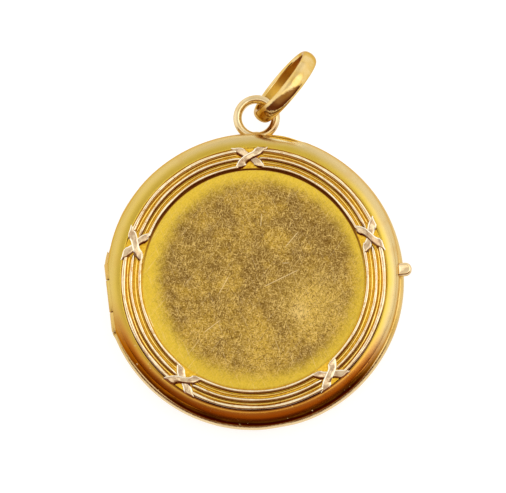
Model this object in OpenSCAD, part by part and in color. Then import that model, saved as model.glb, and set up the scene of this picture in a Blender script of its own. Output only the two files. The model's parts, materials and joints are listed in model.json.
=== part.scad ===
// Round photo locket of gold, closed and lying on its back.
// The origin is the middle of the flat back, on its resting face.
// +Z goes up through the lid, +Y points to the loop and +X to the thumb piece.

/* [Case] */
// Largest radius of the back cover's rim
back_r = 14.0; // [13.9:0.05:14.2]
// Largest radius of the lid's rim
lid_r = 13.8; // [13.7:0.05:13.85]
// Height of the seam between the covers
seam_z = 2.8; // [2.7:0.05:2.9]
// Height of the lid from the seam to its border
lid_h = 1.82; // [1.7:0.02:1.9]
// Thickness of the sheet metal of the flat panels
sheet = 0.3; // [0.25:0.01:0.32]
// Gap between the closed covers
seam_gap = 0.04; // [0.02:0.01:0.06]

/* [Border] */
// Radius at which the panel begins
panel_r = 10.32; // [10.2:0.02:10.4]
// Depth of the panel below the groove floor
panel_sink = 0.06; // [0.02:0.01:0.1]
// Middle radii of the three reeds
reed_rs = [10.6, 11.43, 12.22]; // [10:0.01:13]
// Half the width of a reed
reed_half = 0.2; // [0.16:0.01:0.22]
// Height of a reed above the groove floor
reed_rise = 0.26; // [0.2:0.01:0.3]
// Middle radii of the fine ridges between the reeds
ridge_rs = [11.0, 11.83]; // [10:0.01:13]
// Half the width of a fine ridge
ridge_half = 0.07; // [0.05:0.01:0.09]
// Number of crossed ribbons
cross_count = 5; // [3:1:8]
// Angle of the first crossed ribbon
cross_start = 19.8; // [0:0.1:40]
// Half the angle between a ribbon's outer and inner end
cross_half_turn = 5.2; // [4:0.1:6]
// Radius at a ribbon's inner end
cross_inner_r = 10.2; // [10:0.05:10.5]
// Radius at a ribbon's outer end
cross_outer_r = 12.6; // [12.4:0.05:12.8]
// Width of a ribbon at its ends
ribbon_end_w = 0.85; // [0.6:0.05:1]
// Width of a ribbon where it crosses the other
ribbon_waist_w = 0.5; // [0.4:0.05:0.6]
// Height of a ribbon above the groove floor
ribbon_rise = 0.42; // [0.35:0.01:0.5]

/* [Hinge] */
// Direction of the hinge from the case's axis
hinge_angle = 187; // [180:1:190]
// Distance of the hinge axis from the case's axis
hinge_r = 13.28; // [13.2:0.02:13.4]
// Radius of the knuckles
knuckle_r = 0.43; // [0.4:0.01:0.46]
// Radius of the pin
pin_r = 0.2; // [0.15:0.01:0.22]
// Clearance of the pin in its bore
pin_clear = 0.03; // [0.01:0.01:0.05]
// Ends of the barrel along its axis
barrel_ends = [-3.3, 3.3]; // [-4:0.1:4]
// Places of the two gaps between the knuckles
knuckle_gaps = [-1.69, 1.37]; // [-3:0.01:3]
// Width of the gap between two knuckles
knuckle_gap_w = 0.06; // [0.04:0.01:0.1]

/* [Thumb piece] */
// Direction of the thumb piece
thumb_angle = 3.4; // [0:0.1:10]
// Radius of the thumb piece's outer end
thumb_end_r = 14.72; // [14.5:0.02:15]
// Width of the thumb piece
thumb_w = 1.25; // [1:0.05:1.5]
// Height of the thumb piece
thumb_h = 0.75; // [0.6:0.05:0.9]

/* [Loop and bail] */
// Middle of the loop
loop_at = [0.25, 15.53]; // [0:0.01:16]
// Height of the middle of the loop's wire
loop_z = 2.33; // [2.2:0.01:2.35]
// Radius of the loop's middle line
loop_r = 1.79; // [1.7:0.01:1.9]
// Radius of the loop's wire
wire_r = 0.4; // [0.35:0.01:0.42]
// Outer radius of the bail
bail_r = 4.0; // [3.9:0.05:4.1]
// Inner radius of the bail
bail_in_r = 3.26; // [3.22:0.01:3.3]
// Width of the bail's band
bail_w = 1.5; // [1.4:0.05:1.6]
// Direction of the bail's plane, seen from above
bail_angle = 52.4; // [52:0.1:53]
// Direction from the loop's middle to where the bail sits on its wire
bail_seat_angle = 50.4; // [50:0.1:51]
// Lean of the bail from upright
bail_lean = 17.5; // [16.5:0.5:18]
// Height of the bail's middle
bail_z = 3.91; // [3.9:0.01:3.98]

/* [Hidden] */
$fn = 96;

// Lid's outline: the rim is a bead that is widest a little above the seam
lid_wide_z = seam_z + 0.55;
lid_flat_r = 12.3;
groove_z = seam_z + lid_h - 0.12;
rim_top_z = seam_z + lid_h;
panel_z = groove_z - panel_sink;
under_z = panel_z - sheet;
wall = 0.35;

// Back's outline, widest a little below the seam
back_wide_z = seam_z - 0.65;
back_flat_r = 12.5;
back_low_z = 0.25;
plate_r = 11.9;
plate_step = 0.15;

// Outer radius of the rims at the seam
seam_r = 13.55;

// Closing lip of the back, inside the lid's wall
inner_r = 13.2;
lip_r = inner_r - 0.05;
lip_in_r = 12.95;
lip_top_z = seam_z + 0.4;
ledge_z = seam_z - 0.2;
lip_opening_w = 10;

// Photo frames
frame_r = 12.85;
frame_in_r = 10.9;
frame_sheet = 0.15;
skirt = 0.2;
front_frame_z = seam_z + 0.25;
front_frame_top = seam_z + 1.12;
back_frame_z = 2.2;
back_frame_foot = 0.78;

// Hinge notch in the rims, and the plates that close it
notch_slack = 0.05;
plate_t = 0.3;
big = 8;

// Rounding of the bail's inner edges, its play on the loop's wire, and where the two meet
bail_edge = 0.26;
bail_play = 0.305;
wire_at_bail = [loop_at[0] + loop_r * cos(bail_seat_angle), loop_at[1] + loop_r * sin(bail_seat_angle)];
bail_hang = bail_in_r - wire_r - bail_play;
bail_up = (bail_z - loop_z) / cos(bail_lean);
bail_along = sqrt(bail_hang * bail_hang - bail_up * bail_up);
bail_mid = [
    wire_at_bail[0] + bail_along * cos(bail_angle) + bail_up * sin(bail_lean) * sin(bail_angle),
    wire_at_bail[1] + bail_along * sin(bail_angle) - bail_up * sin(bail_lean) * cos(bail_angle),
    bail_z
];

// Points of an elliptical arc from angle a0 to a1
function arc(cx, cy, rx, ry, a0, a1, n) =
    [for (i = [0 : n]) let (a = a0 + (a1 - a0) * i / n) [cx + rx * cos(a), cy + ry * sin(a)]];

// Outer outline of the lid, from the seam up to the middle
function lid_outline() = concat(
    arc(lid_r - 0.55, lid_wide_z, 0.55, 0.6, -57, 0, 3),
    arc(lid_flat_r, lid_wide_z, lid_r - lid_flat_r, rim_top_z - lid_wide_z, 12, 84, 6),
    [[12.44, rim_top_z - 0.01], [12.42, groove_z], [panel_r + 0.05, groove_z], [panel_r, panel_z], [0, panel_z]]
);

// Outer outline of the back, from the middle of the resting face up to the seam
function back_outline() = concat(
    [[0, 0], [plate_r, 0], [plate_r + 0.1, plate_step], [back_flat_r - 0.1, plate_step]],
    arc(back_flat_r, back_wide_z, back_r - back_flat_r, back_wide_z - back_low_z, -84, 0, 7),
    arc(back_r - 0.6, back_wide_z, 0.6, 0.66, 20, 70, 3)
);

// Places what follows at the hinge: X outward from the axis, Y along the barrel
module at_hinge() {
    rotate([0, 0, hinge_angle]) translate([hinge_r, 0, seam_z]) children();
}

// A round bar along the hinge, from y0 to y1
module barrel(r, y0, y1) {
    at_hinge() translate([0, y1, 0]) rotate([90, 0, 0]) cylinder(r = r, h = y1 - y0, $fn = 64);
}

// Notch for the barrel in a rim
module notch() {
    y0 = barrel_ends[0] - notch_slack;
    at_hinge() translate([0, y0, -big / 2]) cube([big, barrel_ends[1] - y0 + notch_slack, big]);
}

// The plate that closes a rim behind the barrel
module hinge_plate(z0, z1) {
    y0 = barrel_ends[0] - 0.6;
    at_hinge() translate([-plate_t, y0, z0 - seam_z]) cube([plate_t + 0.6, barrel_ends[1] + 0.6 - y0, z1 - z0]);
}

// One reed, a ring of round section
module reed(r, half, rise) {
    rotate_extrude() translate([r, groove_z + rise - half]) circle(r = half, $fn = 32);
}

// One ribbon of a cross, leaning to one side, narrow in the middle
module ribbon(side) {
    mid_r = (cross_inner_r + cross_outer_r) / 2;
    half_len = (cross_outer_r - cross_inner_r) / 2 + 0.1;
    reach = mid_r * tan(cross_half_turn);
    lean = side * atan2(reach, half_len);
    half_run = sqrt(half_len * half_len + reach * reach);
    e = ribbon_end_w / 2;
    w = ribbon_waist_w / 2;
    translate([mid_r, 0, groove_z - 0.15]) rotate([0, 0, lean]) linear_extrude(ribbon_rise + 0.15)
        polygon([
            [-half_run, -e], [-half_run * 0.5, -e * 0.9], [0, -w], [half_run * 0.5, -e * 0.9], [half_run, -e],
            [half_run, e], [half_run * 0.5, e * 0.9], [0, w], [-half_run * 0.5, e * 0.9], [-half_run, e]
        ]);
}

// The crossed ribbons, domed over the border
module crosses() {
    intersection() {
        for (i = [0 : cross_count - 1])
            rotate([0, 0, cross_start + i * 360 / cross_count]) {
                ribbon(1);
                ribbon(-1);
            }
        rotate_extrude() polygon(concat(
            [[9.6, groove_z - 0.1], [13.1, groove_z - 0.1]],
            arc(11.4, groove_z - 0.1, 1.7, ribbon_rise + 0.1, 10, 170, 6)
        ));
    }
}

// Thumb piece, a small block with a rounded outer end
module thumb_piece() {
    start_r = 13.3;
    round_r = thumb_w / 2;
    rotate([0, 0, thumb_angle]) translate([0, 0, seam_z + seam_gap + 0.06]) intersection() {
        union() {
            translate([start_r, -thumb_w / 2, 0]) cube([thumb_end_r - round_r - start_r, thumb_w, thumb_h]);
            translate([thumb_end_r - round_r, 0, 0]) cylinder(r = round_r, h = thumb_h);
        }
        translate([start_r, -thumb_w / 2 + 0.06, 0]) cube([2, thumb_w - 0.12, thumb_h]);
    }
}

// Sheet shell of the lid
module lid_shell() {
    z0 = seam_z + seam_gap / 2;
    rotate_extrude() polygon(concat(
        lid_outline(),
        [[0, under_z], [lid_flat_r, under_z]],
        arc(lid_flat_r, lid_wide_z, lid_r - lid_flat_r - wall, under_z - lid_wide_z, 75, 0, 5),
        [[inner_r, z0]]
    ));
}

// Solid form of the lid's outline, for cutting plates to it
module lid_form() {
    rotate_extrude() polygon(concat(lid_outline(), [[0, seam_z + seam_gap / 2]]));
}

// Sheet shell of the back, with its closing lip
module back_shell() {
    wide = back_r - back_flat_r - wall;
    rotate_extrude() polygon(concat(
        back_outline(),
        [[seam_r, seam_z - seam_gap / 2], [lip_r, seam_z - seam_gap / 2], [lip_r, lip_top_z], [lip_in_r, lip_top_z]],
        [[lip_in_r, ledge_z], [inner_r, ledge_z]],
        arc(back_flat_r, back_wide_z, wide, back_wide_z - back_low_z - wall, 0, -75, 5),
        [[plate_r - 0.1, sheet], [0, sheet]]
    ));
}

// Solid form of the back's outline below the seam
module back_form() {
    rotate_extrude() polygon(concat(back_outline(), [[seam_r, seam_z - seam_gap / 2], [0, seam_z - seam_gap / 2]]));
}

// Lid with its border, middle knuckle and thumb piece
module front_cover() {
    y0 = knuckle_gaps[0] + knuckle_gap_w / 2;
    y1 = knuckle_gaps[1] - knuckle_gap_w / 2;
    color("goldenrod") difference() {
        union() {
            difference() {
                union() {
                    lid_shell();
                    intersection() {
                        lid_form();
                        hinge_plate(seam_z + seam_gap / 2, under_z + 0.1);
                    }
                }
                notch();
                barrel(knuckle_r + notch_slack, barrel_ends[0] - notch_slack, y0);
                barrel(knuckle_r + notch_slack, y1, barrel_ends[1] + notch_slack);
            }
            for (r = reed_rs) reed(r, reed_half, reed_rise);
            for (r = ridge_rs) reed(r, ridge_half, ridge_half);
            crosses();
            thumb_piece();
            barrel(knuckle_r, y0, y1);
        }
        barrel(pin_r + pin_clear, y0 - knuckle_gap_w, y1 + knuckle_gap_w);
    }
}

// Loop of round wire and the solder that seats it on the rim
module loop() {
    seat_half_w = 1.5;
    difference() {
        union() {
            translate([loop_at[0], loop_at[1], loop_z]) rotate_extrude() translate([loop_r, 0])
                circle(r = wire_r, $fn = 48);
            intersection() {
                translate([0, 0, loop_z - 0.34]) cylinder(r = back_r + 0.14, h = 0.68);
                translate([loop_at[0] - seat_half_w, back_r - 0.6, 0]) cube([2 * seat_half_w, 2, big]);
            }
        }
        translate([0, 0, loop_z - 1]) cylinder(r = back_r - wall - 0.08, h = 2);
    }
}

// Back's shell with its hinge plate, notched for the barrel and open at the lip
module back_body() {
    difference() {
        union() {
            back_shell();
            intersection() {
                back_form();
                hinge_plate(0.5, seam_z);
            }
        }
        notch();
        at_hinge() translate([-big, -lip_opening_w / 2, seam_gap / -2]) cube([2 * big, lip_opening_w, big]);
    }
}

// Back cover with its lip, outer knuckles and loop
module back_cover() {
    color("darkgoldenrod") union() {
        difference() {
            union() {
                back_body();
                barrel(knuckle_r, barrel_ends[0], barrel_ends[1]);
            }
            barrel(knuckle_r + notch_slack, knuckle_gaps[0] - knuckle_gap_w / 2, knuckle_gaps[1] + knuckle_gap_w / 2);
            barrel(pin_r + pin_clear, barrel_ends[0] - notch_slack / 2, barrel_ends[1] + notch_slack / 2);
        }
        loop();
    }
}

// Pin through the three knuckles
module hinge_pin() {
    color("gold") barrel(pin_r, barrel_ends[0] + 0.02, barrel_ends[1] - 0.02);
}

// A ring that holds a photo in a cover: a flat rim, and a skirt from z0 to z1
module photo_frame(rim_z, z0, z1) {
    color("khaki") rotate_extrude() union() {
        translate([frame_in_r, rim_z]) square([frame_r - frame_in_r, frame_sheet]);
        translate([frame_r - skirt, z0]) square([skirt, z1 - z0]);
    }
}

// Photo frame in the lid
module front_photo_frame() {
    photo_frame(front_frame_z, front_frame_z, front_frame_top);
}

// Photo frame in the back
module back_photo_frame() {
    photo_frame(back_frame_z, back_frame_foot, back_frame_z + frame_sheet);
}

// Bail, a ring with a flat inside and a crowned outside, leaning on the loop
module bail() {
    half = bail_w / 2;
    edge_r = bail_r - 0.42;
    inner_edge_r = bail_in_r + bail_edge;
    color("orange") translate(bail_mid) rotate([0, 90 + bail_lean, bail_angle - 90]) rotate_extrude()
        polygon(concat(
            arc(inner_edge_r, -half + bail_edge, bail_edge, bail_edge, 180, 270, 3),
            arc(edge_r, 0, bail_r - edge_r, half, -80, 80, 8),
            arc(inner_edge_r, half - bail_edge, bail_edge, bail_edge, 90, 180, 3)
        ));
}

front_cover();
back_cover();
hinge_pin();
front_photo_frame();
back_photo_frame();
bail();
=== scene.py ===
"""Looks of a round gold photo locket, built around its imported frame.

The locket lies on its back: +Z goes up through the lid, +Y to the loop and +X to the thumb piece.
Shapes are worked out in millimetres, and build() turns them into metres.
"""

import json
import math

import bmesh
import bpy
from mathutils import Matrix, Vector


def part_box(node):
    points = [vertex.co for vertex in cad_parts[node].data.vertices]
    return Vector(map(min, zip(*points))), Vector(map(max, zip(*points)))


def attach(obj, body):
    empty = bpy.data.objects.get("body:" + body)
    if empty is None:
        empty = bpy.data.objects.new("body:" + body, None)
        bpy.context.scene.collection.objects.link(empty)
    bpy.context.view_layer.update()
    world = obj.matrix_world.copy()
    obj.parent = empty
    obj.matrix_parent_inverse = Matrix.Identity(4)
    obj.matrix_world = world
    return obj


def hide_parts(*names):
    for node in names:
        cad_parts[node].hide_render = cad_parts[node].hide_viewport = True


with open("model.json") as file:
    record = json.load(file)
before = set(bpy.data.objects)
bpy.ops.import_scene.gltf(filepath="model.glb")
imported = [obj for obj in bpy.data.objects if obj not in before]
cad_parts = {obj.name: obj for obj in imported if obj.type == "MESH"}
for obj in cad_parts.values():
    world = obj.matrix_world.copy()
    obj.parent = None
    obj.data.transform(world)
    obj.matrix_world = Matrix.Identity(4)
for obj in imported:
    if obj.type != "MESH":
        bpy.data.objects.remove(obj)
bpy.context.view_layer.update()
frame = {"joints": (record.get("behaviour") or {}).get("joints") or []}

MM = 0.001
lid_low, lid_high = (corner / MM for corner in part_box("front_cover"))
back_low, back_high = (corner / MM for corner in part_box("back_cover"))
pin_low, pin_high = (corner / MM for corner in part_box("hinge_pin"))
bail_low, bail_high = (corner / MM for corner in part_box("bail"))
joints = {joint["name"]: joint for joint in frame["joints"]}

# Case
back_r = -back_low.x
lid_r = -lid_low.y
pin_mid = (pin_low + pin_high) / 2
seam_z = pin_mid.z
seam_r = 13.55
inner_r = 13.2
wall = 0.35
sheet = 0.3
seam_gap = 0.04
lip_in_r = 12.95
lip_top_z = seam_z + 0.4
ledge_z = seam_z - 0.2

# Lid's outline
lid_wide_z = seam_z + 0.55
lid_flat_r = 12.3
rim_top_z = seam_z + 1.82
rim_foot_r = 12.28
groove_z = rim_top_z - 0.12
panel_r = 10.32
panel_z = groove_z - 0.06
under_z = panel_z - sheet

# Border
border_mid = Vector((0.06, -0.13, 0))
reed_rs = (10.58, 11.38, 12.09)
reed_halves = (0.19, 0.19, 0.225)
reed_rise = 0.27
ridge_rs = (10.98, 11.74)
ridge_half = 0.12
ridge_rise = 0.13
cross_count = 5
cross_start = 19.8
cross_mid_r = 11.46
over_rise = lid_high.z - groove_z

# Back's outline
back_wide_z = seam_z - 0.65
back_flat_r = 12.5
back_low_z = 0.25
plate_r = 11.9
plate_step = 0.15

# Hinge: its own X goes outward, and its own Y along the barrel
hinge_turn = math.atan2(pin_mid.y, pin_mid.x)
hinge_r = math.hypot(pin_mid.x, pin_mid.y)
knuckle_r = 0.43
pin_r = 0.2
pin_clear = 0.03
barrel_end = 3.22
seat_lengths = (1.3, 0.9)
notch_end = 3.35
knuckle_gaps = (-1.69, 1.37)
gap_w = 0.06
lip_opening = 5.0

# Loop and bail
wire_r = 0.4
loop_r = 1.79
loop_mid = Vector((0.25, back_high.y - loop_r - wire_r, 2.33))
bail_r = 4.0
bail_in_r = 3.26
bail_half_w = 0.75
bail_mid = (bail_low + bail_high) / 2
bail_axis = Vector(joints["bail_swing"]["axis"])

# Columns of points round the case
COLUMNS = 720


def arc(cx, cz, rx, rz, start, end, steps):
    """Points of an elliptical arc in a section, with its angles in degrees."""
    points = []
    for i in range(steps + 1):
        a = math.radians(start + (end - start) * i / steps)
        points.append((cx + rx * math.cos(a), cz + rz * math.sin(a)))
    return points


def polar(r, degrees, z):
    a = math.radians(degrees)
    return Vector((r * math.cos(a), r * math.sin(a), z))


def ease(value, low, high):
    """0 below low and 1 above high, with a smooth step between them."""
    t = min(max((value - low) / (high - low), 0), 1)
    return t * t * (3 - 2 * t)


def bump_at(degrees, middle, half):
    """1 at one angle round the case, falling smoothly to 0 at half degrees to either side."""
    away = abs((degrees - middle + 180) % 360 - 180)
    return 1 - ease(away, 0, half)


def build(name, rings, body, materials, closed=False, wrap=False, caps=False, zones=(), sharp=40):
    """A piece lofted through rings of points in millimetres.

    closed joins each ring's last point to its first, wrap joins the last ring to the first, and caps
    closes the two end rings. zones gives the number of the first point of a ring in each material.
    """
    mesh = bmesh.new()
    rows = [[mesh.verts.new(point * MM) for point in ring] for ring in rings]
    size = len(rings[0])
    steps = size if closed else size - 1
    for k in range(len(rows) if wrap else len(rows) - 1):
        here = rows[k]
        following = rows[(k + 1) % len(rows)]
        for i in range(steps):
            j = (i + 1) % size
            face = mesh.faces.new((here[i], here[j], following[j], following[i]))
            face.material_index = sum(i >= first for first in zones)
    if caps:
        mesh.faces.new(rows[0][::-1])
        mesh.faces.new(rows[-1])
    bmesh.ops.remove_doubles(mesh, verts=mesh.verts, dist=2e-7)
    bmesh.ops.recalc_face_normals(mesh, faces=mesh.faces)
    data = bpy.data.meshes.new(name)
    mesh.to_mesh(data)
    mesh.free()
    data.shade_smooth()
    data.set_sharp_from_angle(angle=math.radians(sharp))
    piece = bpy.data.objects.new(name, data)
    bpy.context.scene.collection.objects.link(piece)
    for material in materials:
        data.materials.append(material)
    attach(piece, body)
    return piece


def turned(profile, angles, warp=None, matrix=None):
    """Rings of a profile turned round Z, one for each angle, each point moved by warp(r, angle, z)."""
    rings = []
    for degrees in angles:
        ring = []
        for r, z in profile:
            if warp:
                r, z = warp(r, degrees, z)
            point = polar(r, degrees, z)
            ring.append(matrix @ point if matrix else point)
        rings.append(ring)
    return rings


def evenly(count):
    return [360 * i / count for i in range(count)]


def case_angles():
    """Even columns round the case, with pairs of columns close together at the hinge's steps."""
    hinge_degrees = math.degrees(hinge_turn)
    steps = [-lip_opening, -notch_end, knuckle_gaps[0] + gap_w / 2, knuckle_gaps[1] - gap_w / 2]
    steps += [knuckle_gaps[0] - gap_w / 2, knuckle_gaps[1] + gap_w / 2, notch_end, lip_opening]
    angles = set(evenly(COLUMNS))
    for s in steps:
        at = hinge_degrees + math.degrees(math.atan2(s, hinge_r))
        angles.add((at - 0.02) % 360)
        angles.add((at + 0.02) % 360)
    return sorted(angles)


def along_hinge(degrees):
    """Place along the barrel of the column at this angle, where it meets the hinge's plane."""
    away = (degrees - math.degrees(hinge_turn) + 180) % 360 - 180
    return hinge_r * math.tan(math.radians(away)) if abs(away) < 60 else 99


def cut_back(r, degrees, distance):
    """r, or less where the column would pass a plane this far out along the hinge's X."""
    away = math.radians((degrees - math.degrees(hinge_turn) + 180) % 360 - 180)
    return min(r, distance / math.cos(away)) if abs(away) < 1 else r


def waves(degrees, one, other):
    """Depth of the slight waves that wear has left round the case, from two counts of waves."""
    return 0.012 * (1 + math.sin(math.radians(one * degrees)) * math.cos(math.radians(other * degrees)))


# Where the lid's edge is pressed in: angle, half width in degrees and depth
LID_DENTS = ((-12, 42, 0.26), (222, 36, 0.16), (150, 12, 0.05), (172, 8, 0.06))

# Crevice between the covers beside the loop: angle and half width in degrees
crevice_at = 78.6
crevice_half = 10


def lid_warp(r, degrees, z):
    """The lid's pressed-in edge, its slight waves, its off-centre border, and its cut at the hinge."""
    if r > 12.6:
        share = ease(r, 12.6, 13.5)
        pressed = r - share * sum(depth * bump_at(degrees, at, half) for at, half, depth in LID_DENTS)
        pressed -= 0.5 * bump_at(degrees, crevice_at, crevice_half) * ease(r, 13.0, 13.5)
        pressed -= share * waves(degrees, 7, 3)
        r = max(pressed, min(r, inner_r + 0.08))
    r += border_mid.dot(polar(1, degrees, 0)) * ease(r, 2, 9) * (1 - ease(r, 12.3, 13))
    r -= 0.06 * bump_at(degrees, 166, 12) * ease(r, 13, 13.6)
    s = along_hinge(degrees)
    if abs(s) < notch_end:
        r = cut_back(r, degrees, hinge_r if r > inner_r + 0.04 or z > under_z else hinge_r - sheet)
        beside_back = s < knuckle_gaps[0] + gap_w / 2 or s > knuckle_gaps[1] - gap_w / 2
        if beside_back and r > 12:
            z = max(z, seam_z + knuckle_r + 0.05)
    elif abs(s) < notch_end + 0.55 and r <= inner_r + 0.04 and z < under_z:
        r = cut_back(r, degrees, hinge_r - sheet)
    return r, z


def lid_profile():
    """Section of the lid from the panel's middle over the rim to the underside, and its zones."""
    dome = 0.05
    panel = [(r / 10 * 10.2, panel_z + dome * (1 - (r / 10) ** 2)) for r in
             (0, 0.5, 1, 1.5, 2, 2.5, 3, 3.5, 4, 4.5, 5, 5.5, 6, 6.5, 7, 7.5, 8, 8.5, 9, 9.5, 9.8, 10)]
    step = [(panel_r - 0.02, panel_z), (panel_r + 0.01, panel_z + 0.02), (panel_r + 0.05, groove_z)]
    groove = [(r, groove_z) for r in (10.8, 11.02, 11.2, 11.6, 11.8, 12.0, rim_foot_r - 0.02)]
    rim = [(rim_foot_r, groove_z + 0.02), (rim_foot_r + 0.03, rim_top_z - 0.08)]
    rim += arc(12.37, rim_top_z - 0.08, 0.06, 0.07, 150, 90, 3)
    rim += arc(lid_flat_r, lid_wide_z, lid_r - lid_flat_r, rim_top_z - lid_wide_z, 84, 4, 24)
    rim += arc(lid_r - 0.55, lid_wide_z, 0.55, 0.6, 0, -48, 8)
    rim += arc(seam_r - 0.06, seam_z + 0.09, 0.06, 0.07, -20, -90, 4)
    inside = [(inner_r + 0.03, seam_z + seam_gap / 2), (inner_r, seam_z + seam_gap / 2 + 0.03)]
    inside += arc(lid_flat_r, lid_wide_z, lid_r - lid_flat_r - wall, under_z - lid_wide_z, 0, 80, 8)
    inside += [(r, under_z) for r in (11, 8, 5, 2.5, 0)]
    zones = [len(panel) + 1]
    zones.append(zones[0] + len(step) + len(groove) - 2)
    zones.append(zones[1] + len(rim) + 1)
    return panel + step + groove + rim + inside, zones


def lid_shell(panel_gold, ground_gold, rim_gold, inside_gold):
    profile, zones = lid_profile()
    rings = turned(profile, case_angles(), lid_warp)
    materials = (panel_gold, ground_gold, rim_gold, inside_gold)
    piece = build("lid_shell", rings, "lid", materials, wrap=True, zones=zones)
    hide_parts("front_cover")


def raised_line(name, r, half, rise, start, end, taper, material, inner_foot=0.0):
    """A reed or fine ridge on the groove floor, of rounded section, tapering over its last degrees."""
    rings = []
    steps = max(8, int((end - start) / 0.5))
    for i in range(steps + 1):
        degrees = start + (end - start) * i / steps
        from_end = min(degrees - start, end - degrees)
        size = math.sqrt(max(1 - (1 - min(from_end / taper, 1)) ** 2, 0.02))
        worn = math.sin(math.radians(degrees * 11 + r * 700))
        worn *= math.sin(math.radians(degrees * 4.3 + r * 300))
        middle = r + 0.02 * worn
        wide = half * size * (1 + 0.08 * math.sin(math.radians(degrees * 17 + r * 500)))
        high = rise + 0.04 + 0.025 * worn
        section = []
        for k in range(19):
            across, up = math.cos(math.pi * k / 18), math.sin(math.pi * k / 18)
            section.append((middle + wide * across, groove_z - 0.04 + high * size * up))
        section.append((middle - wide - inner_foot, panel_z - 0.02))
        rings.append([polar(at, degrees, z) + border_mid for at, z in section])
    return build(name, rings, "lid", (material,), closed=True, caps=True)


def border_lines(reed_gold, ridge_gold):
    """The three reeds and two fine ridges of each stretch between two crosses."""
    span = 360 / cross_count
    reed_stops = ((5.2, 1), (3.9, 4.5), (5.2, 1))
    ridge_stops = (5.2, 5.2)
    for i in range(cross_count):
        start = cross_start + i * span
        for k, r in enumerate(reed_rs):
            stop, taper = reed_stops[k]
            name = f"reed_{i + 1}_{k + 1}"
            foot = 0.14 if k == 0 else 0
            half = reed_halves[k]
            raised_line(name, r, half, reed_rise, start + stop, start + span - stop, taper, reed_gold, foot)
        for k, r in enumerate(ridge_rs):
            stop = ridge_stops[k]
            name = f"ridge_{i + 1}_{k + 1}"
            raised_line(name, r, ridge_half, ridge_rise, start + stop, start + span - stop, 3, ridge_gold)


# One side of a ribbon from its inner to its outer end, as places beside and above the cross's middle
RIBBON_SIDE = ((-1.62, -1.04), (-0.74, -0.02), (-0.02, 0.38), (0.46, 1.0))
RIBBON_STOPS = (-1, -0.28, 0.28, 1)


def ribbon_edge(t):
    """Point of a ribbon's side at t, from -1 at the inner end to 1 at the outer end."""
    point = Vector((0, 0))
    for place, stop in zip(RIBBON_SIDE, RIBBON_STOPS):
        weight = 1
        for other in RIBBON_STOPS:
            if other != stop:
                weight *= (t - other) / (stop - other)
        point += weight * Vector(place)
    return point


def ribbon(name, degrees, lean, low_middle, material):
    """One ribbon of a cross. lean is 1 or -1, and low_middle says how far it dips where it is crossed."""
    rings = []
    steps = 56
    across = 20
    for i in range(steps + 1):
        t = -1 + 2 * i / steps
        one = ribbon_edge(t)
        other = -ribbon_edge(-t)
        tip = ease(abs(t), 0.8, 1) * 0.22
        if t > 0:
            one = one.lerp(other, tip)
        else:
            other = other.lerp(one, tip)
        width = (other - one).length
        end = ease(1 - abs(t), 0, 0.12)
        rise = 0.3 + (over_rise - 0.3 - low_middle) * (1 - ease(abs(t), 0.15, 0.75))
        rise *= 0.35 + 0.65 * math.sqrt(end)
        turned_by = 0.1 * math.sin(math.radians(150 * t + 73 * degrees + 40 * lean)) * end
        ring = [(one, -0.05)]
        for k in range(across + 1):
            u = (1 - math.cos(math.pi * k / across)) / 2
            from_edge = min(u, 1 - u) * width
            bevel = max(1 - from_edge / 0.24, 0)
            height = rise - 0.13 * bevel ** 1.6 * end + turned_by * (u - 0.5)
            height *= ease(from_edge, -0.01, 0.02)
            ring.append((one.lerp(other, u), height))
        ring.append((other, -0.05))
        points = []
        for place, height in ring:
            turn = math.degrees(lean * place.x / cross_mid_r)
            point = polar(cross_mid_r + place.y, degrees - turn, groove_z + height)
            points.append(point + border_mid)
        rings.append(points)
    return build(name, rings, "lid", (material,), closed=True, caps=True)


def crosses(material):
    for i in range(cross_count):
        degrees = cross_start + i * 360 / cross_count
        ribbon(f"ribbon_over_{i + 1}", degrees, 1, 0, material)
        ribbon(f"ribbon_under_{i + 1}", degrees, -1, 0.16, material)


def hinge_matrix():
    """Places a shape made round Z so that its Z runs along the barrel."""
    place = Matrix.Translation(Vector((hinge_r, 0, seam_z)))
    turn = Matrix.Rotation(hinge_turn, 4, "Z")
    return turn @ place @ Matrix.Rotation(math.radians(-90), 4, "X")


def knuckle(name, y0, y1, body, material):
    edge = 0.05
    bore = pin_r + pin_clear
    profile = [(bore, y0), (knuckle_r - edge, y0), (knuckle_r - edge * 0.3, y0 + edge * 0.3)]
    profile += [(knuckle_r, y0 + edge), (knuckle_r, y1 - edge), (knuckle_r - edge * 0.3, y1 - edge * 0.3)]
    profile += [(knuckle_r - edge, y1), (bore, y1)]
    rings = turned(profile, evenly(64), matrix=hinge_matrix())
    return build(name, rings, body, (material,), closed=True, wrap=True)


def barrel_seat(name, y0, y1, material):
    """Solder that carries on from one end of the barrel on the back's widest part, below the lid's swing."""
    profile = [(0.01, y0), (knuckle_r, y0)]
    for share in (0.2, 0.4, 0.6, 0.8, 1):
        profile.append((knuckle_r * (1 - 0.95 * share ** 1.3), y0 + (y1 - y0) * share))
    profile.append((0.01, y1))
    place = Matrix.Translation(Vector((0, 0, back_wide_z - seam_z))) @ hinge_matrix()
    rings = turned(profile, evenly(48), matrix=place)
    build(name, rings, "back", (material,), closed=True, wrap=True)


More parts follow.
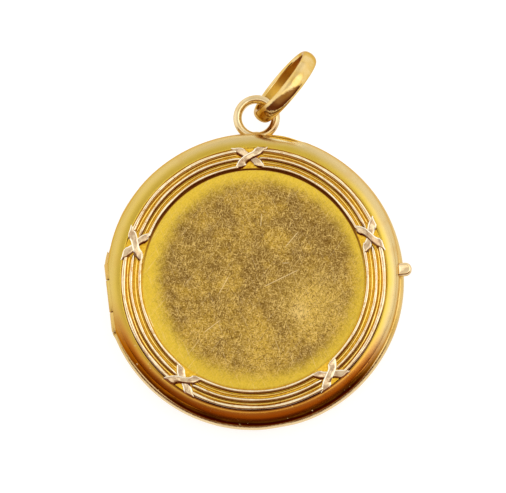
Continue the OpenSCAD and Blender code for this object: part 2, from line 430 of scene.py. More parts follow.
def hinge(lid_material, back_material, pin_material):
    low, high = knuckle_gaps
    knuckle("lid_knuckle", low + gap_w / 2, high - gap_w / 2, "lid", lid_material)
    knuckle("back_knuckle_1", -barrel_end, low - gap_w / 2, "back", back_material)
    knuckle("back_knuckle_2", high + gap_w / 2, barrel_end, "back", back_material)
    half = barrel_end - 0.02
    barrel_seat("barrel_seat_1", -half, -barrel_end - seat_lengths[0], back_material)
    barrel_seat("barrel_seat_2", half, barrel_end + seat_lengths[1], back_material)
    profile = [(0, -half)] + arc(pin_r - 0.06, -half + 0.06, 0.06, 0.06, -90, 0, 4)
    profile += arc(pin_r - 0.06, half - 0.06, 0.06, 0.06, 0, 90, 4) + [(0, half)]
    rings = turned(profile, evenly(48), matrix=hinge_matrix())
    pin = build("pin", rings, "back", (pin_material,), wrap=True)
    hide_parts("hinge_pin")


def thumb_piece(material):
    """A small block with soft edges, a rounded outer end, and a shallow dish in its top."""
    degrees = 3.4
    start_r = 13.3
    end_r = lid_high.x + 0.03
    half_w = 0.6
    low_z = seam_z + 0.1
    height = 0.75
    middle_x = end_r - half_w
    outline = [(start_r, -half_w), ((start_r + middle_x) / 2, -half_w)]
    outline += arc(middle_x, 0, half_w, half_w, -90, 90, 20)
    outline += [((start_r + middle_x) / 2, half_w), (start_r, half_w)]
    levels = [(0.06, 0), (0.02, 0.02), (0, 0.06), (0, height - 0.2)]
    levels += [(0.05, height - 0.09), (0.12, height - 0.03), (0.2, height), (0.28, height - 0.01)]
    levels += [(0.36, height - 0.03), (0.46, height - 0.045), (0.56, height - 0.05)]
    turn = Matrix.Rotation(math.radians(degrees), 4, "Z")
    rings = []
    for inset, z in levels:
        ring = []
        for x, y in outline:
            shrink = 1 - inset / half_w
            near_x = min(start_r + inset, middle_x)
            inside_x = middle_x + (x - middle_x) * shrink if x > middle_x else max(x, near_x)
            ring.append(turn @ Vector((inside_x, y * shrink, low_z + z)))
        rings.append(ring)
    build("thumb_piece", rings, "lid", (material,), closed=True, caps=True, sharp=50)


def back_warp(r, degrees, z):
    """The back's waves, its wider edge at the crevice, its cut at the hinge, and its closing lip."""
    crevice = bump_at(degrees, crevice_at, crevice_half + 1)
    if r > 13.45 and z > 2.3:
        r += 0.16 * crevice * ease(z, 2.3, 2.7)
    if r > plate_r + 0.2:
        r -= waves(degrees, 5, 2)
        r -= 0.06 * bump_at(degrees, 280, 9) * ease(r, 12.8, 13.9)
        r -= 0.14 * bump_at(degrees, 163, 12) * ease(r, 13.2, 13.9)
    s = along_hinge(degrees)
    if abs(s) < notch_end:
        outside = r > inner_r + 0.04 or z < 0.4
        if z > 0.5:
            r = cut_back(r, degrees, hinge_r if outside else hinge_r - sheet)
        elif r > hinge_r:
            r = cut_back(r, degrees, hinge_r)
        if knuckle_gaps[0] - gap_w / 2 < s < knuckle_gaps[1] + gap_w / 2 and r > 12:
            z = min(z, seam_z - knuckle_r - 0.05)
    elif abs(s) < notch_end + 0.55 and 0.5 < z and 12.9 < r <= inner_r + 0.04:
        r = cut_back(r, degrees, hinge_r - sheet)
    if abs(s) < lip_opening:
        z = min(z, seam_z - seam_gap / 2)
    return r, z


def back_profile():
    """Section of the back from the middle of the resting face round the rim to the inside, and its zones."""
    outside = [(r, 0) for r in (0, 1.5, 3, 4.5, 6, 7.5, 9, 10.5, 11.5, 11.8)]
    outside += [(plate_r - 0.02, 0), (plate_r + 0.02, 0.02), (plate_r + 0.08, plate_step - 0.02)]
    outside += [(plate_r + 0.12, plate_step), (back_flat_r - 0.1, plate_step)]
    outside += arc(back_flat_r, back_wide_z, back_r - back_flat_r, back_wide_z - back_low_z, -84, 0, 24)
    outside += arc(back_r - 0.6, back_wide_z, 0.6, 0.66, 8, 66, 8)
    outside += arc(seam_r - 0.08, seam_z - 0.09, 0.07, 0.07, 20, 90, 4)
    lip_r = inner_r - 0.05
    lip = [(lip_r, seam_z - seam_gap / 2), (lip_r, lip_top_z - 0.04), (lip_r - 0.04, lip_top_z)]
    lip += [(lip_in_r + 0.04, lip_top_z), (lip_in_r, lip_top_z - 0.04)]
    lip += [(lip_in_r, ledge_z), (inner_r, ledge_z)]
    wide = back_r - back_flat_r - wall
    inside = arc(back_flat_r, back_wide_z, wide, back_wide_z - back_low_z - wall, 0, -80, 10)
    inside += [(r, sheet) for r in (plate_r - 0.1, 9, 6, 3, 0)]
    return outside + lip + inside, [len(outside)]


def back_shell(outer_gold, inside_gold):
    profile, zones = back_profile()
    rings = turned(profile, case_angles(), back_warp)
    piece = build("back_shell", rings, "back", (outer_gold, inside_gold), wrap=True, zones=zones)
    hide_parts("back_cover")


def loop(material):
    """The wire loop, and the solder that seats it on the back's rim."""
    place = Matrix.Translation(loop_mid)
    rings = turned(arc(loop_r, 0, wire_r, wire_r, 0, 360 - 360 / 32, 31), evenly(144), matrix=place)
    build("loop", rings, "back", (material,), closed=True, wrap=True)
    half_span = 7.6
    middle = math.degrees(math.atan2(loop_mid.y, loop_mid.x))
    rings = []
    for i in range(41):
        share = -1 + i / 20
        size = math.sqrt(max(1 - share * share, 0.004))
        wide = 0.12 + 0.3 * size * (1 + 0.25 * math.cos(2 * math.pi * share))
        section = arc(back_r - 0.28, loop_mid.z - 0.12, wide, 0.42 * size + 0.02, 0, 345, 23)
        rings.append([polar(r, middle + half_span * share, z) for r, z in section])
    build("loop_seat", rings, "back", (material,), closed=True, caps=True)


def photo_frame(name, node, body, rim_up, material):
    """A ring that holds a photo in a cover, with a rolled inner edge."""
    low, high = (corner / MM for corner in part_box(node))
    outer = high.x
    inside_r = 10.9
    thin = 0.15
    skirt = 0.2
    if rim_up:
        z0, z1, far = high.z, high.z - thin, low.z
    else:
        z0, z1, far = low.z, low.z + thin, high.z
    middle = (z0 + z1) / 2
    half = (z0 - z1) / 2
    section = arc(inside_r + thin / 2, middle, thin / 2, half, 90, 270, 8)
    section += [(outer - skirt, z1), (outer - skirt, far), (outer, far)]
    section += arc(outer - 0.05, z0 - half * 0.7, 0.05, half * 0.7, 0, 90, 4)
    section += [(11.9, z0), (11.8, z0 - half * 0.4), (11.7, z0)]
    rings = turned(section, evenly(256))
    piece = build(name, rings, body, (material,), closed=True, wrap=True)
    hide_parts(node)


def bail_ring(material, inside_material):
    """The bail, a ring with a flat inside and a crowned outside."""
    edge = 0.26
    crown_r = bail_r - 0.42
    section = arc(bail_in_r + edge, -bail_half_w + edge, edge, edge, 180, 270, 6)
    section += arc(crown_r, 0, bail_r - crown_r, bail_half_w, -80, 80, 28)
    section += arc(bail_in_r + edge, bail_half_w - edge, edge, edge, 90, 180, 6)
    zones = (len(section) - 1,)
    section += [(bail_in_r, z) for z in (0.4, 0.2, 0, -0.2, -0.4)]
    turn = bail_axis.to_track_quat("Z", "Y").to_matrix().to_4x4()
    place = Matrix.Translation(bail_mid) @ turn
    rings = turned(section, evenly(192), matrix=place)
    materials = (material, inside_material)
    piece = build("bail_ring", rings, "bail", materials, closed=True, wrap=True, zones=zones)
    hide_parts("bail")


class Nodes:
    """Short calls for a node material whose coordinates are millimetres in the frame."""

    def __init__(self, name):
        self.material = bpy.data.materials.new(name)
        self.material.use_nodes = True
        self.tree = self.material.node_tree
        self.shader = self.tree.nodes["Principled BSDF"]
        self.shader.inputs["Metallic"].default_value = 1
        inputs = {0: self.add("ShaderNodeTexCoord").outputs["Object"], "Scale": 1 / MM}
        self.place = self.add("ShaderNodeVectorMath", inputs, operation="SCALE").outputs[0]

    def add(self, kind, inputs=None, **settings):
        node = self.tree.nodes.new(kind)
        for key, value in settings.items():
            setattr(node, key, value)
        for key, value in (inputs or {}).items():
            if isinstance(value, bpy.types.NodeSocket):
                self.tree.links.new(value, node.inputs[key])
            else:
                node.inputs[key].default_value = value
        return node

    def maths(self, operation, a, b=0.0, c=0.0):
        return self.add("ShaderNodeMath", {0: a, 1: b, 2: c}, operation=operation).outputs[0]

    def noise(self, scale, detail=3.0, rough=0.5, place=None):
        inputs = {"Vector": place or self.place, "Scale": scale, "Detail": detail, "Roughness": rough}
        return self.add("ShaderNodeTexNoise", inputs).outputs["Fac"]

    def spread(self, value, low, high, to_low=0.0, to_high=1.0):
        inputs = {"Value": value, "From Min": low, "From Max": high, "To Min": to_low, "To Max": to_high}
        return self.add("ShaderNodeMapRange", inputs, interpolation_type="SMOOTHSTEP").outputs["Result"]

    def mix(self, factor, a, b):
        node = self.add("ShaderNodeMix", data_type="RGBA")
        for key, value in (("Factor", factor), ("A", a), ("B", b)):
            socket = next(s for s in node.inputs if s.name == key and s.enabled)
            if isinstance(value, bpy.types.NodeSocket):
                self.tree.links.new(value, socket)
            else:
                socket.default_value = value if key == "Factor" else (*value, 1)
        return next(s for s in node.outputs if s.enabled)

    def radius(self, middle=(0, 0, 0)):
        """Distance from a line along Z."""
        flat = self.add("ShaderNodeVectorMath", {0: self.place, 1: (1, 1, 0)}, operation="MULTIPLY")
        inputs = {0: flat.outputs[0], 1: tuple(middle)}
        return self.add("ShaderNodeVectorMath", inputs, operation="DISTANCE").outputs["Value"]

    def along(self, axis):
        return self.add("ShaderNodeSeparateXYZ", {0: self.place}).outputs[axis]

    def facing(self, axis):
        """How far the surface faces along an axis of its piece, from -1 to 1."""
        normal = self.add("ShaderNodeTexCoord").outputs["Normal"]
        return self.add("ShaderNodeSeparateXYZ", {0: normal}).outputs[axis]

    def from_cross(self):
        """Degrees round the border from the nearest cross."""
        x = self.maths("SUBTRACT", self.along("X"), border_mid.x)
        y = self.maths("SUBTRACT", self.along("Y"), border_mid.y)
        angle = self.maths("MULTIPLY", self.maths("ARCTAN2", y, x), 180 / math.pi)
        return self.maths("PINGPONG", self.maths("SUBTRACT", angle, cross_start), 180 / cross_count)

    def spot(self, middle, size, strength):
        """A soft round patch, seen from above."""
        return self.spread(self.radius((*middle, 0)), size * 0.2, size, strength, 0)

    def line(self, start, end, half):
        """A fine straight line between two points, seen from above."""
        way = Vector((*end, 0)) - Vector((*start, 0))
        inputs = {0: self.place, 1: (*start, 0)}
        from_start = self.add("ShaderNodeVectorMath", inputs, operation="SUBTRACT").outputs[0]

        def dot(direction):
            inputs = {0: from_start, 1: direction}
            return self.add("ShaderNodeVectorMath", inputs, operation="DOT_PRODUCT").outputs["Value"]

        along = dot(way.normalized())
        across = self.maths("ABSOLUTE", dot(Vector((-way.y, way.x, 0)).normalized()))
        past_end = self.spread(along, way.length - 0.4, way.length, 1, 0)
        ends = self.maths("MULTIPLY", self.spread(along, 0, 0.3), past_end)
        return self.maths("MULTIPLY", ends, self.spread(across, half * 0.3, half, 0.55, 0))

    def streaks(self, turn, length, width):
        """Noise drawn out into fine lines in one direction, in degrees round Z."""
        inputs = {"Vector": self.place, "Rotation": (0, 0, math.radians(turn)), "Scale": (length, width, 1)}
        place = self.add("ShaderNodeMapping", inputs, vector_type="TEXTURE").outputs[0]
        return self.noise(1, 2.0, 0.5, place)

    def bump(self, height, strength, distance):
        """Adds a bump of this height, over what the shader has already."""
        inputs = {"Height": height, "Strength": strength, "Distance": distance * MM}
        before = self.shader.inputs["Normal"]
        if before.is_linked:
            inputs["Normal"] = before.links[0].from_socket
        self.tree.links.new(self.add("ShaderNodeBump", inputs).outputs[0], before)

    def set(self, **inputs):
        for key, value in inputs.items():
            socket = self.shader.inputs[key.replace("_", " ")]
            if isinstance(value, bpy.types.NodeSocket):
                self.tree.links.new(value, socket)
            else:
                socket.default_value = value
        return self.material


# Colours, as the metal's reflection
GOLD = (0.7, 0.48, 0.14)
PALE = (0.74, 0.55, 0.27)
ROSE = (0.78, 0.6, 0.38)
DEEP = (0.6, 0.32, 0.04)
LOOP_LIGHT = (0.78, 0.64, 0.38)
LOOP_DARK = (0.7, 0.52, 0.25)
BAIL_LIGHT = (0.78, 0.59, 0.27)
BAIL_DARK = (0.7, 0.47, 0.13)
# Each: the top's light and dark colours, then the flanks' painted lit and painted shaded colours.
REED_COLOURS = ((0.97, 0.88, 0.62), (0.88, 0.72, 0.44), (0.8, 0.56, 0.16), (0.2, 0.045, 0.006))
RIDGE_COLOURS = ((0.95, 0.7, 0.2), (0.88, 0.6, 0.1), (0.8, 0.5, 0.08), (0.5, 0.2, 0.02))

# Ends of the panel's longer scratches
PANEL_SCRATCHES = (((4.25, 4.3), (2.9, 2.7)), ((0.8, 6.1), (0.7, 4.6)), ((2.6, 1.3), (3.5, 1.32)),
                   ((-3.2, -1.6), (-2.2, 0.2)), ((1.0, -0.9), (4.3, 0.7)), ((-4.6, -5.2), (-2.9, -3.9)))


def panel_gold():
    """Fine matte gilding, worn brown in the middle and still bright yellow beside the border, where painted
    light makes it lighter towards +Y and -X, with a painted shadow at the step up to the border.
    """
    m = Nodes("panel_gold")
    blotch = m.noise(0.35, 4.0, 0.6)
    mottle = m.noise(1.1, 4.0, 0.65)
    grain = m.noise(7.5, 3.0, 0.8)
    worn = m.mix(m.spread(blotch, 0.38, 0.62), (0.25, 0.145, 0.032), (0.52, 0.33, 0.05))
    worn = m.mix(m.spread(mottle, 0.45, 0.65, 0, 0.4), worn, (0.3, 0.18, 0.04))
    worn = m.mix(m.spread(mottle, 0.26, 0.42, 0.45, 0), worn, (0.6, 0.4, 0.06))
    worn = m.mix(m.spot((4.3, -3.3), 1.2, 0.7), worn, (0.85, 0.66, 0.34))
    worn = m.mix(m.spot((5.6, -2.6), 4.6, 0.75), worn, (0.66, 0.45, 0.09))
    worn = m.mix(m.spot((0.8, -7.2), 3.6, 0.4), worn, (0.62, 0.41, 0.06))
    worn = m.mix(m.spot((-6.2, 2.6), 3.8, 0.5), worn, (0.26, 0.16, 0.04))
    worn = m.mix(m.spot((5.2, 5.6), 3.0, 0.5), worn, (0.26, 0.15, 0.03))
    # Painted light: the yellow beside the border is made lighter towards +Y and -X.
    painted_light_slope = m.maths("SUBTRACT", m.along("Y"), m.maths("MULTIPLY", m.along("X"), 0.7))
    bright = m.mix(m.spread(painted_light_slope, -11, 6), (0.68, 0.475, 0.047), (0.77, 0.545, 0.055))
    uneven = m.maths("MULTIPLY", m.maths("SUBTRACT", mottle, 0.5), 1.2)
    from_middle = m.maths("ADD", m.radius((0.38, -0.1, 0)), uneven)
    colour = m.mix(m.spread(from_middle, 8.2, 10.0), worn, bright)
    strength = m.spread(from_middle, 7.9, 10.0, 1.0, 0.2)
    cuts = m.maths("MINIMUM", m.streaks(30, 0.4, 0.08), m.streaks(125, 0.35, 0.08))
    dark = m.maths("MAXIMUM", m.spread(cuts, 0.3, 0.46, 0.85, 0), m.spread(grain, 0.34, 0.5, 0.8, 0))
    colour = m.mix(m.maths("MULTIPLY", dark, strength), colour, (0.12, 0.05, 0.007))
    rubs = m.maths("MAXIMUM", m.streaks(75, 0.35, 0.07), m.streaks(165, 0.3, 0.07))
    light = m.maths("MAXIMUM", m.spread(rubs, 0.56, 0.7, 0, 0.75), m.spread(grain, 0.55, 0.68, 0, 0.6))
    colour = m.mix(m.maths("MULTIPLY", light, strength), colour, (0.86, 0.62, 0.2))
    lines = m.maths("MAXIMUM", m.streaks(52, 3.2, 0.05), m.streaks(112, 2.6, 0.05))
    scratches = m.spread(lines, 0.64, 0.74, 0, 0.35)
    for start, end in PANEL_SCRATCHES:
        scratches = m.maths("MAXIMUM", scratches, m.line(start, end, 0.06))
    colour = m.mix(scratches, colour, (0.9, 0.72, 0.38))
    # Painted shadow: a dark line at the panel's edge under the step, stronger towards +Y.
    foot = m.spread(m.radius(border_mid), 10.18, 10.28)
    foot = m.maths("MULTIPLY", foot, m.spread(m.along("Y"), -3, 6, 0.1, 0.95))
    colour = m.mix(foot, colour, (0.14, 0.02, 0.002))
    m.bump(grain, 0.35, 0.03)
    m.bump(scratches, 0.2, 0.02)
    return m.set(Base_Color=colour, Roughness=m.spread(grain, 0.3, 0.7, 0.5, 0.36))


def ground_gold():
    """Deep yellow matte floor of the border's grooves, with painted shade in the corners beside the reeds,
    strongest on their -Y side, and a painted shadow at the step down to the panel.
    """
    m = Nodes("ground_gold")
    grain = m.noise(4, 3.0, 0.6)
    colour = m.mix(m.spread(grain, 0.35, 0.65), (0.68, 0.38, 0.022), (0.86, 0.56, 0.055))
    away = m.radius(border_mid)
    y = m.along("Y")
    # Painted shade: dark brown in the corners beside each reed, strongest on its -Y side, weaker beside the
    # outer reed towards +Y, and left out near the crosses.
    corner = None
    for k, r in enumerate(reed_rs):
        past = m.maths("SUBTRACT", away, r)
        beside = m.spread(m.maths("ABSOLUTE", past), reed_halves[k], reed_halves[k] + 0.13, 1, 0)
        side = m.maths("MULTIPLY", m.maths("SIGN", past), y)
        here = m.maths("MULTIPLY", beside, m.spread(side, -7, 3, 0.95, 0.2))
        if k == 2:
            here = m.maths("MULTIPLY", here, m.spread(y, -3, 5, 1, 0.4))
        corner = m.maths("MAXIMUM", corner, here) if corner else here
    corner = m.maths("MULTIPLY", corner, m.spread(m.from_cross(), 3.8, 5.0))
    # Painted shadow: a dark line at the step down to the panel, stronger towards +Y.
    foot = m.maths("MULTIPLY", m.spread(away, 10.38, 10.46, 1, 0), m.spread(y, -3, 6, 0.1, 0.9))
    colour = m.mix(m.maths("MAXIMUM", corner, foot), colour, (0.16, 0.03, 0.003))
    m.bump(grain, 0.2, 0.03)
    return m.set(Base_Color=colour, Roughness=0.34)


def rim_gold():
    """Satin rim, paler where rubbed, with a painted dark reflection towards -Y that turns near black at the
    seam, painted shade by the border and a painted highlight at the crevice.
    """
    m = Nodes("rim_gold")
    blotch = m.noise(0.5, 4.0, 0.6)
    grain = m.noise(10, 3.0, 0.7)
    away = m.radius()
    x, y = m.along("X"), m.along("Y")
    uneven = m.maths("ADD", away, m.maths("MULTIPLY", blotch, 0.5))
    rubbed = m.maths("MULTIPLY", m.spread(uneven, 12.65, 13.5), m.spread(x, -13, 0, 0.4, 1))
    colour = m.mix(rubbed, (0.62, 0.44, 0.06), (0.67, 0.52, 0.245))
    colour = m.mix(m.spread(blotch, 0.52, 0.75, 0, 0.3), colour, DEEP)
    # Painted reflection: the rim turns orange to brown towards -Y, as the reflection of a dark wall.
    painted_light_slope = m.maths("ADD", y, m.maths("MULTIPLY", x, 0.12))
    painted_dark_reflection = m.maths("MULTIPLY", m.spread(painted_light_slope, -8.5, -2.5, 1, 0), m.spread(away, 12.3, 13.1, 0.2, 1))
    colour = m.mix(painted_dark_reflection, colour, m.mix(m.spread(x, -9, 1), (0.42, 0.115, 0.006), (0.72, 0.23, 0.012)))
    # Painted shade: the rim goes near black at the seam towards -Y.
    low = m.spread(y, -10.0, -4.5, 1, 0)
    uneven = m.maths("ADD", away, m.maths("MULTIPLY", blotch, 0.2))
    painted_seam_shade = m.maths("MULTIPLY", low, m.spread(uneven, 13.2, 13.7))
    colour = m.mix(painted_seam_shade, colour, (0.02, 0.0015, 0.001))
    # Painted shade: dark brown in the corner between the outer reed and the rim, towards -Y.
    from_corner = m.maths("ABSOLUTE", m.maths("SUBTRACT", m.radius(border_mid), rim_foot_r + 0.08))
    corner = m.maths("MULTIPLY", m.spread(from_corner, 0.06, 0.18, 0.9, 0), m.spread(y, -11.0, -6.5, 1, 0))
    colour = m.mix(corner, colour, (0.16, 0.025, 0.003))
    flecks = m.maths("MULTIPLY", m.spread(m.noise(3.4, 2.0, 0.5), 0.7, 0.74), low)
    colour = m.mix(flecks, colour, PALE)
    # Painted highlight: a near-white line on the lid's edge beside the crevice.
    painted_lip_highlight = m.maths("MULTIPLY", m.spot((3.0, 13.2), 2.3, 1), m.spread(away, 13.05, 13.15))
    colour = m.mix(painted_lip_highlight, colour, (0.98, 0.9, 0.55))
    m.bump(grain, 0.12, 0.02)
    m.bump(blotch, 0.2, 0.08)
    m.set(Specular_Tint=(0.78, 0.5, 0.24, 1))
    return m.set(Base_Color=colour, Roughness=m.spread(blotch, 0.3, 0.7, 0.2, 0.3))


def raised_gold(name, light, dark, sunlit, shaded, crown):
    """Raised lines of the border: a rubbed top, flanks in painted light, painted shade on the flanks that
    face -Y, and a painted shadow at the panel's step.

    light and dark are the top's colours, and sunlit and shaded are the flanks' painted lit and painted shaded
    colours. crown says how strong the fine broken line of painted reflection is that runs along the top at
    both X sides, with 0 for none.
    """
    m = Nodes(name)
    rub = m.noise(1.6, 3.0, 0.6)
    nick = m.spread(m.noise(2.6, 3.0, 0.6), 0.34, 0.4, 0.6, 0)
    top = m.mix(m.spread(rub, 0.35, 0.65), light, dark)
    top = m.mix(nick, top, (0.55, 0.32, 0.1))
    if crown:
        # Painted reflection: a broken dark line along the tops at both X sides.
        at_side = m.spread(m.maths("ABSOLUTE", m.along("X")), 7.5, 10.5)
        broken = m.spread(m.noise(1.4, 3.0, 0.6), 0.36, 0.46, 0.3 * crown, crown)
        line = m.maths("MULTIPLY", m.spread(m.facing("Z"), 0.96, 0.985), m.maths("MULTIPLY", at_side, broken))
        top = m.mix(line, top, (0.34, 0.11, 0.04))
    # Painted light: the outer reed's shaded flank is lightened towards +Y.
    outermost = m.spread(m.radius(border_mid), 11.6, 11.8)
    shaded = m.mix(m.maths("MULTIPLY", outermost, m.spread(m.along("Y"), -3, 5, 0, 0.6)), shaded, sunlit)
    # Painted light and shade: flanks facing -Y take the shaded colour, the rest the sunlit one.
    flank = m.mix(m.spread(m.facing("Y"), -0.5, 0.05), shaded, sunlit)
    colour = m.mix(m.spread(m.facing("Z"), 0.45, 0.85), flank, top)
    # Painted shadow: a dark line at the foot of the inner reed's slope, stronger towards +Y.
    foot = m.spread(m.radius(border_mid), 10.33, 10.38, 1, 0)
    foot = m.maths("MULTIPLY", foot, m.spread(m.along("Y"), -3, 6, 0.1, 1))
    colour = m.mix(foot, colour, (0.14, 0.02, 0.002))
    m.bump(rub, 0.25, 0.05)
    return m.set(Base_Color=colour, Roughness=m.spread(rub, 0.3, 0.7, 0.08, 0.18))


def ribbon_gold():
    """Ribbons with painted highlights on their edges, painted shade on edges that face -Y, small dents, and a
    browner face.
    """
    m = Nodes("ribbon_gold")
    rub = m.noise(1.5, 4.0, 0.6)
    face = m.mix(m.spread(rub, 0.38, 0.62), (0.76, 0.6, 0.38), (0.5, 0.34, 0.2))
    # Painted highlight and shade: sloped edges are near white, and dark brown where they face -Y.
    edge = m.mix(m.spread(m.facing("Y"), -0.6, -0.2), (0.3, 0.08, 0.012), (1, 0.95, 0.78))
    colour = m.mix(m.spread(m.facing("Z"), 0.8, 0.95), edge, face)
    m.bump(m.noise(12, 3.0, 0.7), 0.15, 0.015)
    m.bump(rub, 0.35, 0.1)
    return m.set(Base_Color=colour, Roughness=m.spread(rub, 0.3, 0.7, 0.1, 0.2))


def back_gold():
    """Back's worn polish, with fine scratches in several directions, faint tarnishing, a painted reflection
    that pales the upper rim towards -Y, and a painted shade line at the crevice.
    """
    m = Nodes("back_gold")
    blotch = m.noise(0.3, 5.0, 0.6)
    stain = m.spread(m.noise(0.18, 5.0, 0.65), 0.52, 0.72, 0, 0.45)
    colour = m.mix(m.spread(blotch, 0.3, 0.7), (0.68, 0.48, 0.18), (0.64, 0.43, 0.12))
    colour = m.mix(stain, colour, DEEP)
    # Painted reflection: the upper rim is paler towards -Y, as the reflection of the pale floor.
    low = m.maths("MULTIPLY", m.spread(m.along("Y"), -11.5, -5, 0.7, 0), m.spread(m.along("Z"), 1.0, 2.0))
    colour = m.mix(low, colour, (0.79, 0.62, 0.37))
    ledge = m.maths("MULTIPLY", m.spot((2.7, 13.3), 2.8, 1), m.spread(m.along("Z"), 2.5, 2.65))
    colour = m.mix(ledge, colour, (0.86, 0.56, 0.07))
    # Painted shade: a dark line along the outer edge of the ledge in the crevice.
    edge = m.spread(m.maths("ABSOLUTE", m.maths("SUBTRACT", m.radius(), 13.76)), 0.03, 0.08, 0.9, 0)
    colour = m.mix(m.maths("MULTIPLY", ledge, edge), colour, (0.22, 0.06, 0.008))
    scratches = m.maths("MAXIMUM", m.streaks(15, 4.5, 0.04), m.streaks(80, 3.5, 0.04))
    scratches = m.maths("MAXIMUM", scratches, m.streaks(140, 5.0, 0.045))
    m.bump(m.spread(scratches, 0.6, 0.72), 0.22, 0.02)
    m.bump(blotch, 0.2, 0.1)
    return m.set(Base_Color=colour, Roughness=m.spread(blotch, 0.3, 0.7, 0.16, 0.3))


def inside_gold():
    """Inside of the covers, less worn, with a film of tarnishing."""
    m = Nodes("inside_gold")
    film = m.noise(0.4, 4.0, 0.6)
    colour = m.mix(m.spread(film, 0.4, 0.7), GOLD, DEEP)
    m.bump(m.noise(8, 3.0, 0.7), 0.15, 0.02)
    return m.set(Base_Color=colour, Roughness=m.spread(film, 0.3, 0.7, 0.28, 0.42))


def wire_gold(name, light, dark, waves=0.3, painted_dark_patch=None):
    """Bright polished wire or band, with soft waves from wear and a tone that varies between light and dark
    with wear.

    The last argument gives the middle, size and strength of a brown patch of painted shade.
    """
    m = Nodes(name)
    wear = m.noise(0.9, 3.0, 0.5)
    fine = m.noise(9, 3.0, 0.7)
    colour = m.mix(m.spread(wear, 0.3, 0.7), light, dark)
    # Painted shade: a brown patch where the piece shows shade and dark reflection.
    if painted_dark_patch:
        colour = m.mix(m.spot(*painted_dark_patch), colour, (0.36, 0.14, 0.012))
    m.bump(wear, waves, 0.12)
    m.bump(fine, 0.1, 0.015)
    m.set(Specular_Tint=(0.72, 0.56, 0.34, 1))
    return m.set(Base_Color=colour, Roughness=m.spread(fine, 0.3, 0.7, 0.07, 0.15))


def bail_inside_gold():
    """Smooth brown inside of the bail, with painted shade that makes it darkest at its far end."""
    m = Nodes("bail_inside_gold")
    wear = m.noise(0.8, 3.0, 0.5)
    # Painted shade: darker towards the bail's far end.
    colour = m.mix(m.spread(m.along("Y"), 18.2, 21.4), (0.62, 0.38, 0.06), (0.42, 0.13, 0.006))
    colour = m.mix(m.spread(wear, 0.4, 0.7, 0, 0.4), colour, DEEP)
    m.bump(m.noise(9, 3.0, 0.7), 0.15, 0.015)
    return m.set(Base_Color=colour, Roughness=0.36)


def frame_gold():
    m = Nodes("frame_gold")
    wear = m.noise(1.2, 3.0, 0.6)
    colour = m.mix(m.spread(wear, 0.3, 0.7), PALE, GOLD)
    m.bump(m.noise(10, 3.0, 0.7), 0.12, 0.015)
    return m.set(Base_Color=colour, Roughness=m.spread(wear, 0.3, 0.7, 0.14, 0.26))


def camera():
    """Long lens at the photo's angle, with the case where the photo has it."""
    azimuth = math.radians(12.5)
    elevation = math.radians(80)
    image = (506, 493)
    case_px = Vector((254.0, 281.1))
    case_across_px = 300
    distance = 300
    back = Vector((
        math.sin(azimuth) * math.cos(elevation), -math.cos(azimuth) * math.cos(elevation), math.sin(elevation)
    ))
    up = (Vector((0, 1, 0)) - back.y * back).normalized()
    side = up.cross(back)
    mm_per_px = 2 * back_r / case_across_px
    shift_px = case_px - Vector(image) / 2
    aim = Vector((0, 0, back_wide_z)) - side * shift_px.x * mm_per_px + up * shift_px.y * mm_per_px
    data = bpy.data.cameras.new("camera")
    data.sensor_width = 36
    data.lens = data.sensor_width * distance / (image[0] * mm_per_px)
    data.clip_start = 0.01
    data.clip_end = 10
    view = bpy.data.objects.new("camera", data)
    bpy.context.scene.collection.objects.link(view)
    turn = Matrix((side, up, back)).transposed().to_4x4()
    view.matrix_world = Matrix.Translation((aim + back * distance) * MM) @ turn
    bpy.context.scene.camera = view


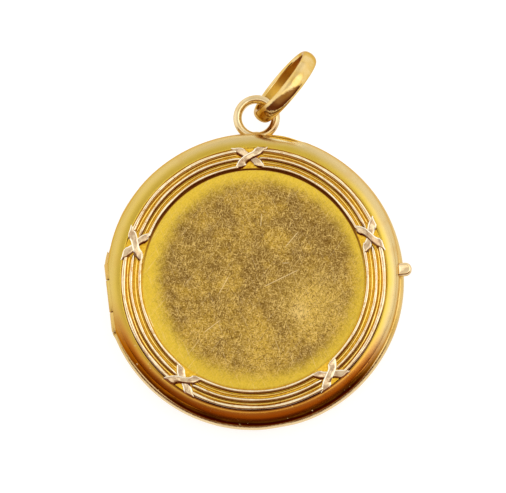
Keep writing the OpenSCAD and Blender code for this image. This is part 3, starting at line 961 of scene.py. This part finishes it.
def surroundings():
    """A pale room, brighter to both X sides, with a soft lamp overhead and a dark warm wall towards -Y."""
    world = bpy.data.worlds.new("room")
    world.use_nodes = True
    bpy.context.scene.world = world
    tree = world.node_tree
    tree.nodes.clear()

    def add(kind, inputs=None, **settings):
        node = tree.nodes.new(kind)
        for key, value in settings.items():
            setattr(node, key, value)
        for key, value in (inputs or {}).items():
            if isinstance(value, bpy.types.NodeSocket):
                tree.links.new(value, node.inputs[key])
            else:
                node.inputs[key].default_value = value
        return node

    def spread(value, low, high):
        inputs = {"Value": value, "From Min": low, "From Max": high}
        return add("ShaderNodeMapRange", inputs, interpolation_type="SMOOTHSTEP").outputs["Result"]

    def mix(factor, a, b):
        node = add("ShaderNodeMixRGB", {"Fac": factor})
        for key, value in (("Color1", a), ("Color2", b)):
            if isinstance(value, bpy.types.NodeSocket):
                tree.links.new(value, node.inputs[key])
            else:
                node.inputs[key].default_value = (*value, 1)
        return node.outputs[0]

    way = add("ShaderNodeTexCoord").outputs["Generated"]
    direction = add("ShaderNodeSeparateXYZ", {0: way}).outputs
    sideways = spread(add("ShaderNodeMath", {0: direction["X"]}, operation="ABSOLUTE").outputs[0], 0.15, 0.6)
    light = mix(sideways, (0.98, 0.94, 0.9), (1.22, 1.18, 1.12))
    ceiling = mix(spread(direction["Y"], -0.12, 0.1), (1.45, 1.4, 1.32), (0.86, 0.81, 0.77))
    light = mix(spread(direction["Z"], 0.75, 0.96), light, ceiling)
    to_lamp = add("ShaderNodeVectorMath", {0: way, 1: (0.5, 0.08, 0.86)}, operation="DOT_PRODUCT")
    light = mix(spread(to_lamp.outputs["Value"], 0.86, 0.95), light, (1.75, 1.72, 1.65))
    dark = mix(spread(direction["Z"], 0.25, 0.8), (0.14, 0.04, 0.015), (0.42, 0.24, 0.12))
    seen = mix(spread(direction["Y"], -0.42, -0.15), dark, light)
    shown = mix(add("ShaderNodeLightPath").outputs["Is Camera Ray"], seen, (1, 1, 1))
    background = add("ShaderNodeBackground", {"Color": shown, "Strength": 1.0})
    add("ShaderNodeOutputWorld", {"Surface": background.outputs[0]})


def floor():
    """Near-white surface under the locket."""
    half = 1.5
    data = bpy.data.meshes.new("floor")
    corners = [(-half, -half, 0), (half, -half, 0), (half, half, 0), (-half, half, 0)]
    data.from_pydata(corners, [], [(0, 1, 2, 3)])
    material = bpy.data.materials.new("paper")
    material.use_nodes = True
    shader = material.node_tree.nodes["Principled BSDF"]
    shader.inputs["Base Color"].default_value = (0.35, 0.35, 0.35, 1)
    shader.inputs["Roughness"].default_value = 0.9
    shader.inputs["Specular IOR Level"].default_value = 0.1
    shader.inputs["Emission Color"].default_value = (1, 1, 1, 1)
    shader.inputs["Emission Strength"].default_value = 0.82
    data.materials.append(material)
    plane = bpy.data.objects.new("floor", data)
    plane.location.z = -0.00002
    bpy.context.scene.collection.objects.link(plane)


def main():
    camera()
    surroundings()
    floor()
    rim = rim_gold()
    inside = inside_gold()
    back = back_gold()
    # The loop's brown patch is painted shade by its foot.
    loop_wire = wire_gold("loop_gold", LOOP_LIGHT, LOOP_DARK, painted_dark_patch=((1.7, 14.7), 0.9, 0.6))
    lid_shell(panel_gold(), ground_gold(), rim, inside)
    reed = raised_gold("reed_gold", *REED_COLOURS, crown=0.7)
    ridge = raised_gold("ridge_gold", *RIDGE_COLOURS, crown=0)
    border_lines(reed, ridge)
    crosses(ribbon_gold())
    thumb_piece(wire_gold("thumb_gold", (0.8, 0.62, 0.33), ROSE))
    back_shell(back, inside)
    hinge(rim, back, wire_gold("pin_gold", GOLD, DEEP))
    loop(loop_wire)
    # The bail's brown patch is a painted dark reflection.
    bail = wire_gold("bail_gold", BAIL_LIGHT, BAIL_DARK, 0.45, ((0.95, 15.25), 0.9, 0.95))
    bail_ring(bail, bail_inside_gold())
    frames = frame_gold()
    photo_frame("lid_photo_ring", "front_photo_frame", "lid", False, frames)
    photo_frame("back_photo_ring", "back_photo_frame", "back", True, frames)
    bpy.context.scene.view_settings.view_transform = "Standard"


main()
